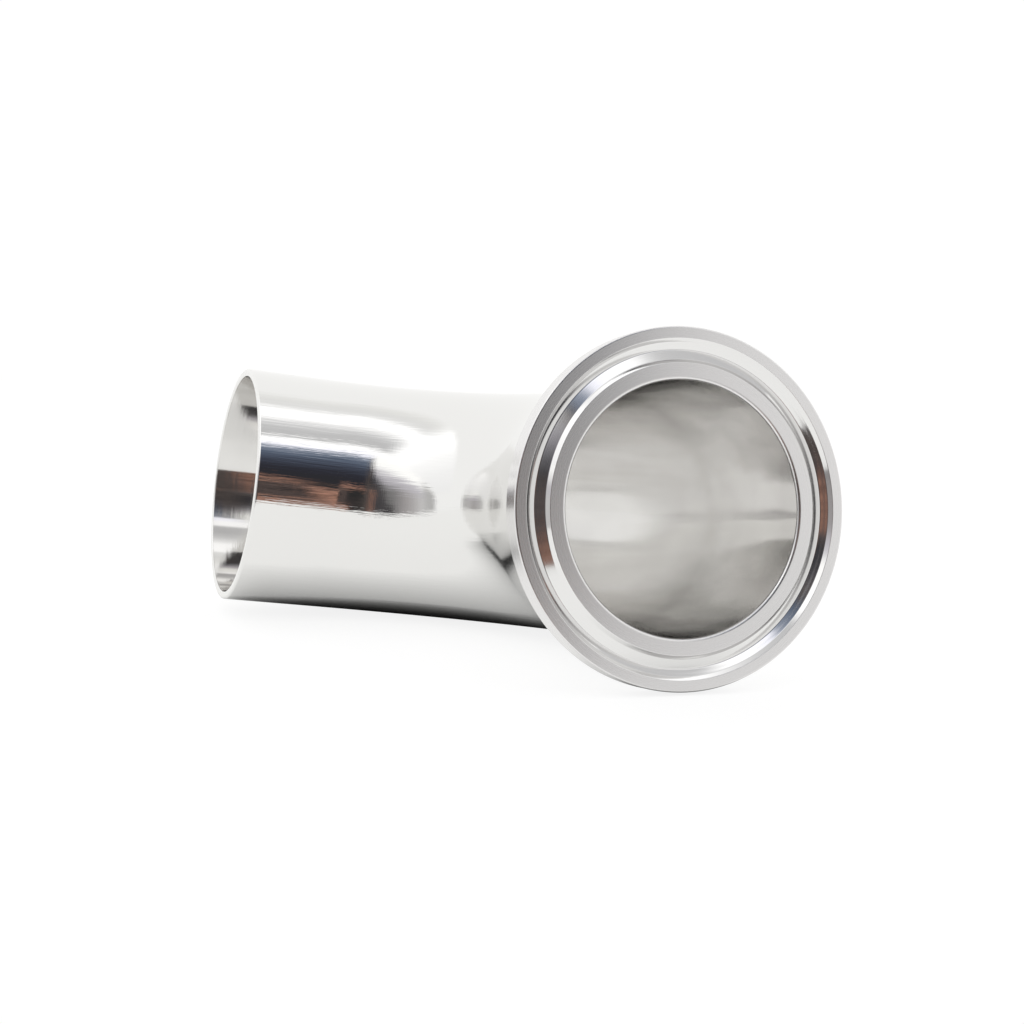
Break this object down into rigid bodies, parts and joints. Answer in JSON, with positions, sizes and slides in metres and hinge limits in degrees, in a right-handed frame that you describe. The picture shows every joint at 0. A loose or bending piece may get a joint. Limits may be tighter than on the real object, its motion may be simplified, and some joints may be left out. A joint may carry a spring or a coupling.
{
  "type": "ninety degree tube elbow",
  "caption": "Ninety degree bend of thin polished steel tube, with a round clamp flange and gasket groove on one end and a plain cut end on the other.",
  "frame": {"origin": "centre of the bore in the plane of the clamp face", "axes": "-Y out of the clamp end along its bore, -X out of the plain end along its bore, +Z square to the plane of the bend, up as the elbow lies on its side"},
  "size_m": [0.0761, 0.0825, 0.0506],
  "materials": {
    "tube_steel": "mirror polished outside, dull drawn bore",
    "ferrule_steel": "fine turned faces, polished groove and neck"
  },
  "bodies": {
    "root": {"bent_tube": "tube_steel", "clamp_ferrule": "ferrule_steel"}
  },
  "joints": []
}
